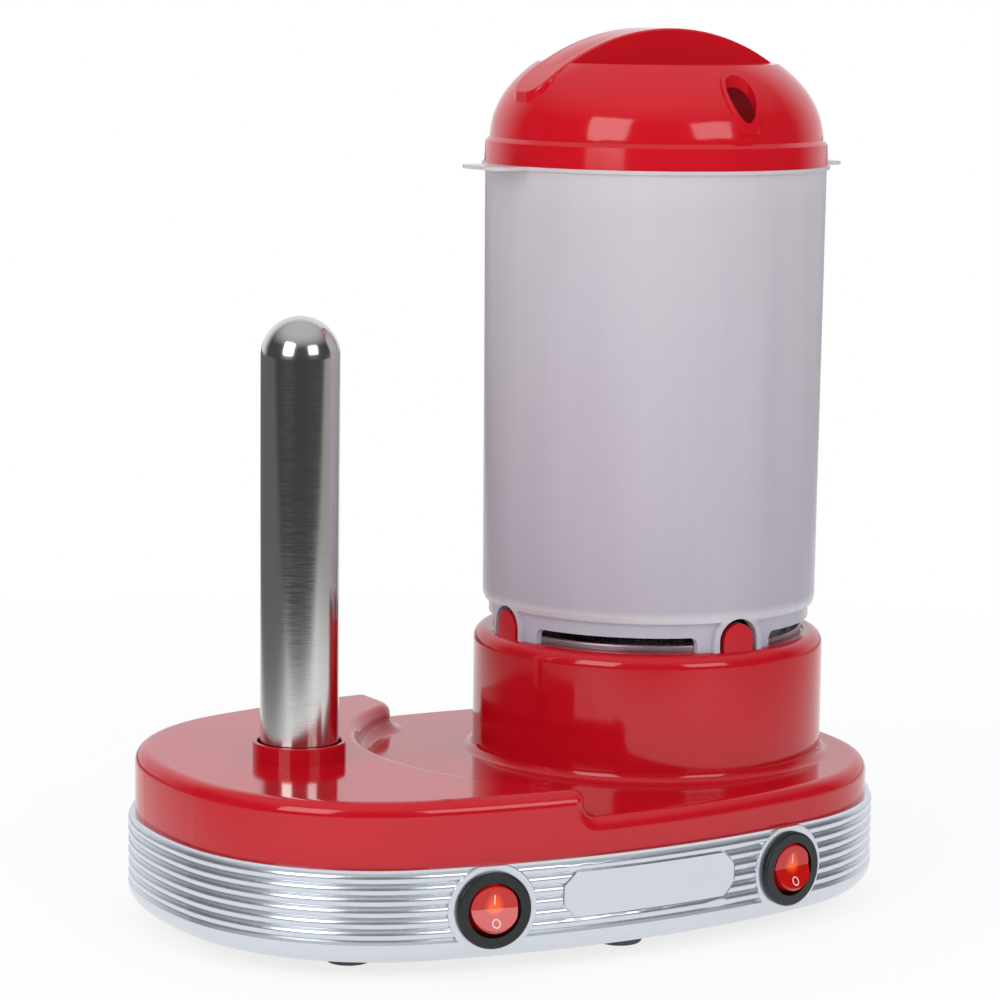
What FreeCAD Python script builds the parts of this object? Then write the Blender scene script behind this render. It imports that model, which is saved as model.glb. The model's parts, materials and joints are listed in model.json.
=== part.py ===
import FreeCAD, Part
import math
import os

# Table-top toaster for hot dogs, in millimetres.
# X runs along the base from the warming spike to the boiler, the switches face -Y and Z is up.
# The origin is under the middle of the base, at the level of the feet.

V = FreeCAD.Vector
UP = V(0, 0, 1)

# Base outline, an oval of eight tangent arcs
half_length = 118.5
half_width = 81.0
corner_radius = 66.0
front_half_angle = 14.0
end_half_angle = 8.0

# Heights of the base
base_gap = 4.8
seam_z = 33.3
floor_z = 44.2
plateau_z = 52.7
housing_top_z = 83.8

# Top cover
cover_wall = 2.4
cover_edge_round = 4.0
tongue_height = 2.6
tongue_gap = 0.2
recess_front_offset = 54.8
recess_back_offset = 65.3
recess_centre_y = -10.0
recess_front_turn = 50.86
recess_front_straight = 0.53
recess_front_round = 8.0
recess_back_round = 12.0
step_foot_round = 4.6
step_top_round = 3.4
post_radius = 4.0
base_screw_radius = 1.6
screw_head_radius = 3.4
screw_head_height = 1.8
slot_width = 0.8
slot_reach = 0.6
base_screw_length = 16.0
post_end_margin = 20.5
post_row_y = 22.0
post_side_margin = 21.0
post_side_x = -25.0

# Boiler housing and its locating tabs
boiler_end_margin = 66.5
housing_radius = 56.0
housing_wall = 2.4
housing_base_round = 3.0
housing_top_round = 4.2
housing_top_thickness = 4.2
housing_mouth_radius = 49.8
housing_ledge_radius = 46.0
housing_ledge_depth = 1.8
tab_count = 4
tab_width = 10.5
tab_top_z = 92.5
tab_inner_radius = 49.9
tab_thickness = 2.9

# Silver skirt
skirt_crest = 2.2
skirt_wall = 3.0
rib_count = 6
rib_pitch = 3.36
rib_depth = 0.9
rib_top_margin = 0.8
skirt_bottom_round = 6.5
skirt_flange = 3.7

# Plaque between the switches
plaque_margin = 22.5
plaque_ribs = 4
plaque_first_rib = 1
plaque_corner = 4.0
plaque_groove = 0.4

# Base plate and feet
plate_thickness = 2.2
plate_gap = 0.4
foot_radius = 7.0
foot_edge = 1.0
foot_end_margin = 40.0
foot_row_y = 43.0
foot_side_margin = 19.5
foot_side_x = 4.4
vent_count = 7
vent_width = 3.0
vent_length = 46.0
vent_pitch = 8.0

# Switches, each about the middle of its flange
switch_xs = {"left": -49.9, "right": 55.1}
switch_z = 20.3
panel_grow = 2.25
boss_radius = 13.8
boss_edge = 0.3
panel_hole_radius = 10.0
flange_radius = 11.5
flange_thickness = 1.8
flange_edge = 0.7
barrel_radius = 9.9
barrel_depth = 15.0
barrel_back = 3.2
mouth_radius = 8.2
mouth_depth = 1.2
pocket_radius = 8.8
rocker_radius = 7.2
rocker_sphere = 8.6
rocker_centre_height = 3.8
rocker_slope = 16.0
rocker_underside = 3.5
rocker_tilt = 9.0
pivot_depth = 2.4
pivot_radius = 1.0
pivot_clearance = 0.06
lamp_radius = 1.6
lamp_length = 9.0
blade_width = 6.3
blade_thickness = 0.8
blade_length = 10.0
blade_spacing = 5.5

# Warming spike
spike_end_margin = 45.2
spike_radius = 12.05
spike_wall = 0.8
spike_top_z = 188.0
spike_flange_radius = 18.0
spike_flange_thickness = 1.2
collar_gap = 0.85
collar_radius = 14.3
collar_height = 5.4
collar_spigot_wall = 0.9
collar_fit = 0.1
collar_edge = 0.4
heater_radius = 4.0
heater_top_z = 160.0
heater_tail = 8.0
spacer_height = 8.0
spacer_fit = 0.15
clamp_thickness = 1.5
clamp_half_span = 25.0
clamp_width = 26.0
clamp_screw_radius = 1.5
clamp_screw_grip = 1.6

# Boiler dish and what heats it
dish_flange_gap = 0.3
dish_sheet = 0.8
seal_thickness = 0.7
dish_slope_top_radius = 45.0
dish_slope_foot_radius = 36.0
dish_depth = 9.0
element_ring_radius = 27.0
element_tube_radius = 3.2
element_tail_spread = 12.0
element_tail_length = 12.0
tail_clearance = 0.5
thermostat_radius = 9.0
thermostat_height = 8.0
fuse_radius = 2.2
fuse_length = 12.0
fuse_offset = 16.4
bracket_thickness = 1.5
bracket_width = 14.0
bracket_end_margin = 2.8
shield_thickness = 0.6
shield_radius = 42.0
shield_hole_radius = 14.0
bracket_post_radius = 3.5
bracket_screw_radius = 1.4
bracket_screw_length = 9.0
bracket_screw_head = 2.8

# Mains entry
gland_radius = 8.5
gland_flange = 1.4
gland_neck_radius = 6.0
gland_bore_radius = 3.6
gland_depth = 9.0
gland_nut_radius = 8.0
gland_nut_thickness = 4.0
gland_nut_gap = 0.2
gland_z = 20.3
block_x = -20.0
block_y = 30.0
block_length = 30.0
block_width = 16.0
block_height = 11.0
block_ways = 3
block_pitch = 9.0
block_bore = 2.2

# Container
container_top_z = 232.0
container_top_radius = 53.9
container_foot_radius = 53.2
container_wall = 1.8
crease_z = 93.2
crease_radius = 52.6
crease_rise = 1.8
container_floor_z = 95.0
container_floor_thickness = 1.8
foot_ring_radius = 51.2
foot_ring_wall = 1.9
span_z = 88.6
leg_half_width = 13.2
leg_flare = 2.2
arch_clearance = 1.6
arch_rim = 1.8
arch_rim_radius = 52.9
rim_thickness = 1.1
rim_radius = 54.9
ear_reach = 66.0
ear_half_width = 11.6
ear_corner = 6.0
steam_hole_radius = 2.5
steam_ring_counts = [8, 14, 20]
steam_ring_first = 14.0
steam_ring_pitch = 12.0

# Lid
lid_band_height = 6.7
lid_band_radius = 54.2
lid_band_top_radius = 53.9
lid_wall = 2.2
lid_lip_depth = 6.0
lid_lip_gap = 0.4
dome_radius = 52.5
dome_height = 34.0
dome_base_offset = 8.0
grip_ledge_rise = 31.4
grip_half_width = 8.6
grip_half_length = 49.5
grip_end_round = 6.0
grip_top_radius = 71.8
grip_top_rise = 0.2
grip_foot_rise = 17.0
grip_edge_round = 1.0
steam_vent_radius = 4.8
steam_vent_offset = 47.4
steam_vent_floor_rise = 12.3
steam_vent_rim = 1.3
steam_vent_rim_height = 0.6

# Values that follow from those above
boiler_x = half_length - boiler_end_margin
spike_x = spike_end_margin - half_length
recess_front_x = spike_x + recess_front_offset
recess_back_x = spike_x + recess_back_offset
post_side_place = (post_side_x, half_width - post_side_margin)
post_end_x = half_length - post_end_margin
post_places = [(-post_end_x, post_row_y), post_side_place, (post_end_x, post_row_y)]
foot_side_place = (foot_side_x, half_width - foot_side_margin)
foot_end_x = half_length - foot_end_margin
foot_places = [(-foot_end_x, foot_row_y), foot_side_place, (foot_end_x, foot_row_y)]
plaque_x = (switch_xs["left"] + switch_xs["right"]) / 2.0
plaque_length = switch_xs["right"] - switch_xs["left"] - 2.0 * plaque_margin
plate_bottom_z = base_gap + skirt_wall
plate_top_z = plate_bottom_z + plate_thickness
ceiling_z = floor_z - cover_wall
plateau_ceiling_z = plateau_z - cover_wall
housing_inner_radius = housing_radius - housing_wall
ledge_z = housing_top_z - housing_ledge_depth
housing_underside_z = housing_top_z - housing_top_thickness
dish_flange_z = ledge_z + seal_thickness
dish_bottom_z = dish_flange_z + dish_sheet - dish_depth
dish_underside_z = dish_bottom_z - dish_sheet
bracket_top_z = dish_underside_z - thermostat_height
bracket_bottom_z = bracket_top_z - bracket_thickness
bracket_screw_offset = (housing_inner_radius + housing_ledge_radius) / 2.0
tab_round_z = tab_top_z - tab_width / 2.0
dome_z = container_top_z + dome_base_offset
grip_ledge_z = container_top_z + grip_ledge_rise
grip_foot_z = container_top_z + grip_foot_rise
steam_vent_floor_z = container_top_z + steam_vent_floor_rise


def cylinder(radius, z0, z1, x=0.0, y=0.0):
    return Part.makeCylinder(radius, z1 - z0, V(x, y, z0), UP)


def tube(outer, inner, z0, z1, x=0.0, y=0.0):
    return cylinder(outer, z0, z1, x, y).cut(cylinder(inner, z0 - 1.0, z1 + 1.0, x, y))


def block(x0, x1, y0, y1, z0, z1):
    return Part.makeBox(x1 - x0, y1 - y0, z1 - z0, V(x0, y0, z0))


def turned(points, x=0.0, y=0.0):
    """Solid of revolution about a vertical axis from (radius, z) points."""
    corners = [V(x + radius, y, z) for radius, z in points]
    face = Part.Face(Part.makePolygon(corners + corners[:1]))
    return face.revolve(V(x, y, 0), UP, 360.0)


def fused(shapes):
    return shapes[0].multiFuse(shapes[1:]).removeSplitter()


def group(shapes):
    return Part.makeCompound(shapes)


def both_sides(places):
    """Each place and its mirror image across the long axis."""
    return [(x, side * y) for x, y in places for side in (-1.0, 1.0)]


def edges_where(shape, test):
    chosen = []
    for edge in shape.Edges:
        first, last = edge.FirstParameter, edge.LastParameter
        samples = [edge.valueAt(first + (last - first) * share) for share in (0.0, 0.5, 1.0)]
        if test(samples):
            chosen.append(edge)
    return chosen


def upright(samples):
    return math.hypot(samples[0].x - samples[2].x, samples[0].y - samples[2].y) < 0.01


def save(name, shape):
    shape.exportStep(os.path.join("parts", name + ".step"))


# The oval's arcs: the end and front radii follow from the sizes and the angles
def oval_radii():
    front = math.radians(front_half_angle)
    end = math.radians(end_half_angle)
    a11 = math.sin(front)
    a12 = 1.0 - math.cos(end)
    a21 = math.cos(front) - 1.0
    a22 = -math.sin(end)
    b1 = half_length + corner_radius * (math.sin(front) - math.cos(end))
    b2 = -half_width + corner_radius * (math.cos(front) - math.sin(end))
    determinant = a11 * a22 - a12 * a21
    front_radius = (b1 * a22 - b2 * a12) / determinant
    end_radius = (a11 * b2 - a21 * b1) / determinant
    return front_radius, end_radius


front_radius, end_radius = oval_radii()
corner_x = (front_radius - corner_radius) * math.sin(math.radians(front_half_angle))
corner_y = half_width - front_radius
corner_y += (front_radius - corner_radius) * math.cos(math.radians(front_half_angle))


def oval_arcs():
    """Centre, radius, first angle and last angle of each arc, turning left from the boiler end."""
    f = front_half_angle
    e = end_half_angle
    end_x = half_length - end_radius
    side_y = half_width - front_radius
    return [
        ((end_x, 0.0), end_radius, -e, e),
        ((corner_x, corner_y), corner_radius, e, 90.0 - f),
        ((0.0, side_y), front_radius, 90.0 - f, 90.0 + f),
        ((-corner_x, corner_y), corner_radius, 90.0 + f, 180.0 - e),
        ((-end_x, 0.0), end_radius, 180.0 - e, 180.0 + e),
        ((-corner_x, -corner_y), corner_radius, 180.0 + e, 270.0 - f),
        ((0.0, -side_y), front_radius, 270.0 - f, 270.0 + f),
        ((corner_x, -corner_y), corner_radius, 270.0 + f, 360.0 - e),
    ]


def oval_prism(grow, z0, z1):
    """Prism on the base outline, grown outwards by a distance."""
    edges = []
    for (x, y), radius, first, last in oval_arcs():
        edges.append(Part.makeCircle(radius + grow, V(x, y, z0), UP, first, last))
    return Part.Face(Part.Wire(edges)).extrude(V(0, 0, z1 - z0))


def oval_distance(point):
    """Distance of a point outside the base outline, negative within it."""
    x = abs(point.x)
    y = abs(point.y)
    angle = math.degrees(math.atan2(y - corner_y, x - corner_x))
    if angle > 90.0 - front_half_angle:
        return math.hypot(x, y - half_width + front_radius) - front_radius
    if angle < end_half_angle:
        return math.hypot(x - half_length + end_radius, y) - end_radius
    return math.hypot(x - corner_x, y - corner_y) - corner_radius


def oval_band(section):
    """Closed band round the base outline; section(x) gives its edges at that outline radius."""
    pieces = []
    for (x, y), radius, first, last in oval_arcs():
        face = Part.Face(Part.Wire(section(radius)))
        face.rotate(V(0, 0, 0), UP, first)
        face.translate(V(x, y, 0))
        pieces.append(face.revolve(V(x, y, 0), UP, last - first))
    return fused(pieces)


# Top cover
def recess_disc():
    """Centre x and radius of the recess's disc; its front mouth leaves room for the rounds."""
    turn = math.radians(recess_front_turn)
    outline_y = half_width - front_radius + math.sqrt(front_radius ** 2 - recess_front_x ** 2)
    land = cover_edge_round + recess_front_straight + recess_front_round * math.tan(turn / 2.0)
    radius = (outline_y - land + recess_centre_y) / math.sin(turn)
    return recess_front_x + radius * math.cos(turn), radius


recess_centre_x, recess_radius = recess_disc()


def recess_tool(grow, z0, z1):
    """Space over the lower floor: a disc round the boiler with a straight mouth at front and back."""
    reach_x = half_length * 2.0
    reach_y = half_width * 2.0
    disc = cylinder(recess_radius + grow, z0, z1, recess_centre_x, recess_centre_y)
    front = block(recess_front_x - grow, reach_x, -reach_y, recess_centre_y, z0, z1)
    back = block(recess_back_x - grow, reach_x, recess_centre_y, reach_y, z0, z1)
    tool = fused([disc, front, back])

    def corner(samples, sign):
        away = math.hypot(samples[1].x - recess_centre_x, samples[1].y - recess_centre_y)
        on_disc = abs(away - recess_radius - grow) < 0.01
        return upright(samples) and on_disc and sign * (samples[1].y - recess_centre_y) > 1.0

    tool = tool.makeFillet(recess_front_round - grow, edges_where(tool, lambda s: corner(s, -1.0)))
    return tool.makeFillet(recess_back_round - grow, edges_where(tool, lambda s: corner(s, 1.0)))


def cover_hull():
    """Outside of the oval part of the cover, with its raised plateau and rounded edges."""
    hull = oval_prism(0.0, seam_z, plateau_z).cut(recess_tool(0.0, floor_z, plateau_z + 1.0))

    def inside(samples, z):
        level = all(abs(point.z - z) < 0.01 for point in samples)
        return level and oval_distance(samples[1]) < -0.05

    foot = edges_where(hull, lambda s: inside(s, floor_z))
    hull = hull.makeFillet(step_foot_round, foot)
    top = edges_where(hull, lambda s: inside(s, plateau_z))
    hull = hull.makeFillet(step_top_round, top)

    def rim(samples):
        on_wall = all(abs(oval_distance(point)) < 0.02 for point in samples)
        return on_wall and min(point.z for point in samples) > seam_z + 0.1

    return hull.makeFillet(cover_edge_round, edges_where(hull, rim))


def housing_tab():
    """Upright tab with a round top on the +X side of the boiler housing."""
    half = tab_width / 2.0
    foot_z = housing_top_z - housing_top_thickness / 2.0
    far = tab_inner_radius + tab_thickness * 2.0
    near = tab_inner_radius - tab_thickness
    slab = block(near, far, -half, half, foot_z, tab_round_z)
    top = Part.makeCylinder(half, far - near, V(near, 0, tab_round_z), V(1, 0, 0))
    ring = tube(tab_inner_radius + tab_thickness, tab_inner_radius, foot_z, tab_top_z)
    return slab.fuse(top).common(ring)


def top_cover():
    hull = cover_hull()
    drum = cylinder(housing_radius, floor_z - cover_wall, housing_top_z, boiler_x)
    solid = fused([hull, drum])

    def circle_at(samples, radius, z):
        level = all(abs(point.z - z) < 0.01 for point in samples)
        away = math.hypot(samples[1].x - boiler_x, samples[1].y)
        return level and abs(away - radius) < 0.01

    base = edges_where(solid, lambda s: circle_at(s, housing_radius, floor_z))
    solid = solid.makeFillet(housing_base_round, base)
    top = edges_where(solid, lambda s: circle_at(s, housing_radius, housing_top_z))
    solid = solid.makeFillet(housing_top_round, top)
    for index in range(tab_count):
        tab = housing_tab()
        tab.rotate(V(0, 0, 0), UP, 360.0 * index / tab_count)
        tab.translate(V(boiler_x, 0, 0))
        solid = solid.fuse(tab)
    tongue_grow = panel_inner_grow() - tongue_gap
    tongue = oval_prism(tongue_grow, seam_z - tongue_height, seam_z + 1.0)
    solid = solid.fuse(tongue)
    below = seam_z - tongue_height - 1.0
    cavity = oval_prism(-cover_wall, below, ceiling_z)
    high = oval_prism(-cover_wall, ceiling_z - 1.0, plateau_ceiling_z)
    high = high.cut(recess_tool(cover_wall, ceiling_z - 2.0, plateau_z))
    drum_space = cylinder(housing_inner_radius, below, housing_underside_z, boiler_x)
    mouth = cylinder(housing_mouth_radius, ledge_z, housing_top_z + 1.0, boiler_x)
    bore = cylinder(housing_ledge_radius, below, housing_top_z + 1.0, boiler_x)
    for space in (cavity, high, drum_space, mouth, bore):
        solid = solid.cut(space)
    solid = solid.cut(cylinder(collar_hole_radius(), plateau_ceiling_z - 1.0, plateau_z + 1.0, spike_x))
    for x, y in both_sides(post_places):
        solid = add_post(solid, x, y)
    for side in (-1.0, 1.0):
        x = boiler_x + side * bracket_screw_offset
        post = cylinder(bracket_post_radius, bracket_top_z, housing_underside_z + 1.0, x)
        hole_top = bracket_bottom_z + bracket_screw_length
        hole = cylinder(bracket_screw_radius, bracket_top_z - 1.0, hole_top, x)
        solid = solid.fuse(post).cut(hole)
    for y in clamp_screw_ys():
        pad = cylinder(clamp_screw_radius * 2.2, flange_bottom_z(), plateau_ceiling_z + 0.5, spike_x, y)
        hole = cylinder(clamp_screw_radius, flange_bottom_z() - 1.0, clamp_screw_top_z(), spike_x, y)
        solid = solid.fuse(pad).cut(hole)
    return solid.removeSplitter()


def add_post(solid, x, y):
    """Screw post from the underside of the cover down to the base plate."""
    away = math.hypot(x - recess_centre_x, y - recess_centre_y)
    on_floor = away < recess_radius
    top_z = (ceiling_z if on_floor else plateau_ceiling_z) + cover_wall / 2.0
    post = cylinder(post_radius, plate_top_z, top_z, x, y)
    hole = cylinder(base_screw_radius, plate_top_z - 1.0, plate_bottom_z + base_screw_length, x, y)
    return solid.fuse(post).cut(hole)


# Silver skirt
def panel_inner_grow():
    return skirt_crest - skirt_wall


def skirt_section(radius):
    """Edges of the skirt's cut face at an outline radius, with ribs over a rounded lower band."""
    crest = radius + skirt_crest
    root = crest - rib_depth
    inner = radius + panel_inner_grow()
    flange_in = crest - skirt_bottom_round - skirt_flange
    centre_z = base_gap + skirt_bottom_round
    centre_x = crest - skirt_bottom_round
    edges = []

    def line(x0, z0, x1, z1):
        edges.append(Part.makeLine(V(x0, 0, z0), V(x1, 0, z1)))

    def arc(x0, z0, x1, z1, x2, z2):
        edges.append(Part.Arc(V(x0, 0, z0), V(x1, 0, z1), V(x2, 0, z2)).toShape())

    line(inner, seam_z, root, seam_z)
    z = seam_z - rib_top_margin
    line(root, seam_z, root, z)
    for _ in range(rib_count):
        arc(root, z, crest, z - rib_pitch / 2.0, root, z - rib_pitch)
        z -= rib_pitch
    line(root, z, crest, centre_z)
    cos45 = math.sqrt(0.5)
    diagonal = skirt_bottom_round * cos45
    arc(crest, centre_z, centre_x + diagonal, centre_z - diagonal, centre_x, base_gap)
    line(centre_x, base_gap, flange_in, base_gap)
    line(flange_in, base_gap, flange_in, plate_bottom_z)
    line(flange_in, plate_bottom_z, centre_x, plate_bottom_z)
    inner_round = skirt_bottom_round - skirt_wall
    diagonal = inner_round * cos45
    arc(centre_x, plate_bottom_z, centre_x + diagonal, centre_z - diagonal, inner, centre_z)
    line(inner, centre_z, inner, seam_z)
    return edges


def panel_placement(x, z, grow, front=True):
    """Placement on the front or back of the outline: X along the panel, Y up, Z outwards."""
    side = -1.0 if front else 1.0
    radius = front_radius + grow
    angle = math.asin(x / radius)
    origin = V(x, side * (half_width - front_radius + radius * math.cos(angle)), z)
    out = V(math.sin(angle), side * math.cos(angle), 0)
    along = UP.cross(out)
    matrix = FreeCAD.Matrix(
        along.x, UP.x, out.x, origin.x,
        along.y, UP.y, out.y, origin.y,
        along.z, UP.z, out.z, origin.z,
        0, 0, 0, 1)
    return FreeCAD.Placement(matrix)


def placed(shape, placement):
    copy = shape.copy()
    copy.Placement = placement.multiply(copy.Placement)
    return copy


def plaque_outline(margin):
    """Bar across the front with clipped corners, as tall as the ribs that it replaces."""
    top = seam_z - rib_top_margin - plaque_first_rib * rib_pitch + margin
    bottom = seam_z - rib_top_margin - (plaque_first_rib + plaque_ribs) * rib_pitch - margin
    left = plaque_x - plaque_length / 2.0 - margin
    right = plaque_x + plaque_length / 2.0 + margin
    clip = plaque_corner
    y = -half_width * 1.5
    points = [
        V(left, y, bottom + clip), V(left + clip, y, bottom), V(right - clip, y, bottom),
        V(right, y, bottom + clip), V(right, y, top - clip), V(right - clip, y, top),
        V(left + clip, y, top), V(left, y, top - clip)]
    face = Part.Face(Part.makePolygon(points + points[:1]))
    return face.extrude(V(0, half_width, 0))


def base_skirt():
    solid = oval_band(skirt_section)
    root = skirt_crest - rib_depth
    groove_ring = oval_prism(skirt_crest * 2.0, base_gap, seam_z).cut(oval_prism(root, 0.0, seam_z + 1.0))
    solid = solid.cut(groove_ring.common(plaque_outline(plaque_groove)))
    slab = oval_prism(skirt_crest, base_gap, seam_z).cut(oval_prism(root - 0.3, 0.0, seam_z + 1.0))
    solid = solid.fuse(slab.common(plaque_outline(0.0)))
    band_z = base_gap + skirt_bottom_round
    keep = oval_prism(skirt_crest * 3.0, band_z, seam_z)
    for x in switch_xs.values():
        place = panel_placement(x, switch_z, panel_grow)
        back = panel_inner_grow() - panel_grow
        boss = Part.makeCylinder(boss_radius, -back, V(0, 0, back), UP)
        boss = boss.makeFillet(boss_edge, edges_where(boss, lambda s: all(abs(p.z) < 0.01 for p in s)))
        hole = Part.makeCylinder(panel_hole_radius, skirt_wall * 8.0, V(0, 0, -skirt_wall * 4.0), UP)
        solid = solid.fuse(placed(boss, place).common(keep)).cut(placed(hole, place))
    place = gland_placement()
    seat = Part.makeCylinder(gland_radius + collar_fit, skirt_wall, V(0, 0, -gland_flange), UP)
    hole = cylinder(gland_neck_radius + collar_fit, -skirt_wall * 2.0, skirt_wall * 2.0)
    solid = solid.cut(placed(seat, place)).cut(placed(hole, place))
    return solid.removeSplitter()


# Base plate, feet and their screws
def base_plate():
    grow = skirt_crest - skirt_bottom_round - plate_gap
    solid = oval_prism(grow, plate_bottom_z, plate_top_z)
    for x, y in both_sides(post_places):
        solid = solid.cut(cylinder(base_screw_radius, plate_bottom_z - 1.0, plate_top_z + 1.0, x, y))
    for index in range(vent_count):
        x = boiler_x + (index - (vent_count - 1) / 2.0) * vent_pitch
        half = vent_length / 2.0
        below = plate_bottom_z - 1.0
        above = plate_top_z + 1.0
        slot = block(x - vent_width / 2.0, x + vent_width / 2.0, -half, half, below, above)
        for y in (-half, half):
            slot = slot.fuse(cylinder(vent_width / 2.0, below, above, x, y))
        solid = solid.cut(slot)
    return solid


def rubber_feet():
    feet = []
    for x, y in both_sides(foot_places):
        foot = cylinder(foot_radius, 0.0, plate_bottom_z, x, y)
        feet.append(foot.makeFillet(foot_edge, edges_where(foot, lambda s: all(p.z < 0.01 for p in s))))
    return group(feet)


def screw(x, y, head_z, length, radius, head_radius, head_height):
    """Screw driven upwards: the head lies under head_z and the shank rises from it."""
    shank = cylinder(radius, head_z, head_z + length, x, y)
    foot_z = head_z - head_height
    head = cylinder(head_radius, foot_z, head_z, x, y)
    rim = edges_where(head, lambda s: all(p.z < foot_z + 0.01 for p in s))
    head = head.makeFillet(head_height / 3.0, rim)
    reach = head_radius * slot_reach
    half = slot_width / 2.0
    slot = block(x - reach, x + reach, y - half, y + half, foot_z, foot_z + head_height / 2.0)
    return shank.fuse(head).cut(slot)


def base_screws():
    screws = []
    for x, y in both_sides(post_places):
        screws.append(screw(x, y, plate_bottom_z, base_screw_length, base_screw_radius,
                            screw_head_radius, screw_head_height))
    return group(screws)


# Warming spike
def collar_hole_radius():
    return spike_radius + collar_gap + collar_spigot_wall + collar_fit


def flange_bottom_z():
    return plateau_ceiling_z - spike_flange_thickness


def clamp_bottom_z():
    return flange_bottom_z() - clamp_thickness


def clamp_screw_top_z():
    return flange_bottom_z() + clamp_screw_grip


def rod(radius, foot_z, top_z):
    """Rod with a round tip."""
    shoulder_z = top_z - radius
    return fused([cylinder(radius, foot_z, shoulder_z), Part.makeSphere(radius, V(0, 0, shoulder_z))])


def spike_tube():
    inner_radius = spike_radius - spike_wall
    solid = rod(spike_radius, flange_bottom_z(), spike_top_z)
    solid = solid.cut(rod(inner_radius, flange_bottom_z() - 1.0, spike_top_z - spike_wall))
    solid.translate(V(spike_x, 0, 0))
    return solid


def spike_flange():
    return tube(spike_flange_radius, spike_radius, flange_bottom_z(), plateau_ceiling_z, spike_x)


def spike_collar():
    inner = spike_radius + collar_gap
    spigot = tube(inner + collar_spigot_wall, inner, plateau_ceiling_z, plateau_z + 0.5, spike_x)
    ring = tube(collar_radius, inner, plateau_z, plateau_z + collar_height, spike_x)
    top_z = plateau_z + collar_height
    rim = edges_where(ring, lambda s: all(p.z > top_z - 0.01 for p in s))
    return spigot.fuse(ring.makeFillet(collar_edge, rim)).removeSplitter()


def spike_heater():
    solid = rod(heater_radius, clamp_bottom_z() - heater_tail, heater_top_z)
    solid.translate(V(spike_x, 0, 0))
    return solid


def heater_spacers():
    outer = spike_radius - spike_wall - spacer_fit
    low = tube(outer, heater_radius, flange_bottom_z(), flange_bottom_z() + spacer_height, spike_x)
    top_z = heater_top_z - heater_radius * 2.0
    high = tube(outer, heater_radius, top_z - spacer_height, top_z, spike_x)
    return group([low, high])


def clamp_screw_ys():
    y = clamp_half_span - clamp_screw_radius * 2.0
    return (-y, y)


def spike_clamp():
    half = clamp_width / 2.0
    low = clamp_bottom_z()
    top = flange_bottom_z()
    plate = block(spike_x - half, spike_x + half, -clamp_half_span, clamp_half_span, low, top)
    plate = plate.cut(cylinder(heater_radius, low - 1.0, top + 1.0, spike_x))
    for y in clamp_screw_ys():
        plate = plate.cut(cylinder(clamp_screw_radius, low - 1.0, top + 1.0, spike_x, y))
    return plate


def spike_clamp_screws():
    low = clamp_bottom_z()
    length = clamp_screw_top_z() - low
    radius = clamp_screw_radius
    return group([screw(spike_x, y, low, length, radius, radius * 2.0, radius) for y in clamp_screw_ys()])


# Boiler
def boiler_dish():
    """Pressed dish: flat flange, sloping side and flat bottom."""
    top = dish_flange_z + dish_sheet
    rim = housing_mouth_radius - dish_flange_gap
    points = [
        (0.0, dish_underside_z), (dish_slope_foot_radius, dish_underside_z),
        (dish_slope_top_radius, dish_flange_z), (rim, dish_flange_z), (rim, top),
        (dish_slope_top_radius - dish_sheet, top), (dish_slope_foot_radius - dish_sheet, dish_bottom_z),
        (0.0, dish_bottom_z)]
    return turned(points, boiler_x)


def boiler_seal():
    outer = housing_mouth_radius - dish_flange_gap * 2.0
    return tube(outer, housing_ledge_radius, ledge_z, dish_flange_z, boiler_x)


def heating_element():
    """Ring of sheathed element under the dish, with two tails that turn down."""
    z = dish_underside_z - element_tube_radius
    gap = math.degrees(math.asin(element_tail_spread / 2.0 / element_ring_radius))
    circle = Part.makeCircle(element_tube_radius, V(element_ring_radius, 0, z), V(0, 1, 0))
    face = Part.Face(Part.Wire(circle))
    face.rotate(V(0, 0, 0), UP, gap)
    ring = face.revolve(V(0, 0, 0), UP, 360.0 - 2.0 * gap)
    parts = [ring]
    for side in (-1.0, 1.0):
        angle = math.radians(side * gap)
        x = element_ring_radius * math.cos(angle)
        y = element_ring_radius * math.sin(angle)
        parts.append(Part.makeSphere(element_tube_radius, V(x, y, z)))
        parts.append(cylinder(element_tube_radius, z - element_tail_length, z, x, y))
    solid = fused(parts)
    solid.translate(V(boiler_x, 0, 0))
    return solid


def thermostat():
    return cylinder(thermostat_radius, bracket_top_z, dish_underside_z, boiler_x)


def thermal_fuse():
    start = V(boiler_x - fuse_offset - fuse_length / 2.0, 0, bracket_top_z + fuse_radius)
    return Part.makeCylinder(fuse_radius, fuse_length, start, V(1, 0, 0))


def bracket_screw_holes(solid, z0, z1):
    for side in (-1.0, 1.0):
        solid = solid.cut(cylinder(bracket_screw_radius, z0, z1, boiler_x + side * bracket_screw_offset))
    return solid


def bracket_bar(z0, z1):
    half = bracket_screw_offset + bracket_end_margin
    return block(boiler_x - half, boiler_x + half, -bracket_width / 2.0, bracket_width / 2.0, z0, z1)


def element_bracket():
    bar = bracket_bar(bracket_bottom_z, bracket_top_z)
    for side in (-1.0, 1.0):
        angle = math.asin(element_tail_spread / 2.0 / element_ring_radius)
        x = boiler_x + element_ring_radius * math.cos(angle)
        y = side * element_tail_spread / 2.0
        radius = element_tube_radius + tail_clearance
        bar = bar.cut(cylinder(radius, bracket_bottom_z - 1.0, bracket_top_z + 1.0, x, y))
    return bracket_screw_holes(bar, bracket_bottom_z - 1.0, bracket_top_z + 1.0)


def heat_shield():
    top = bracket_bottom_z
    bottom = top - shield_thickness
    disc = tube(shield_radius, shield_hole_radius, bottom, top, boiler_x)
    plate = disc.fuse(bracket_bar(bottom, top))
    half = element_tail_spread / 2.0 + element_tube_radius + 1.0
    x = boiler_x + element_ring_radius
    reach = element_tube_radius * 2.0
    window = block(x - reach, x + reach, -half, half, bottom - 1.0, top + 1.0)
    return bracket_screw_holes(plate.cut(window), bottom - 1.0, top + 1.0).removeSplitter()


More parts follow.
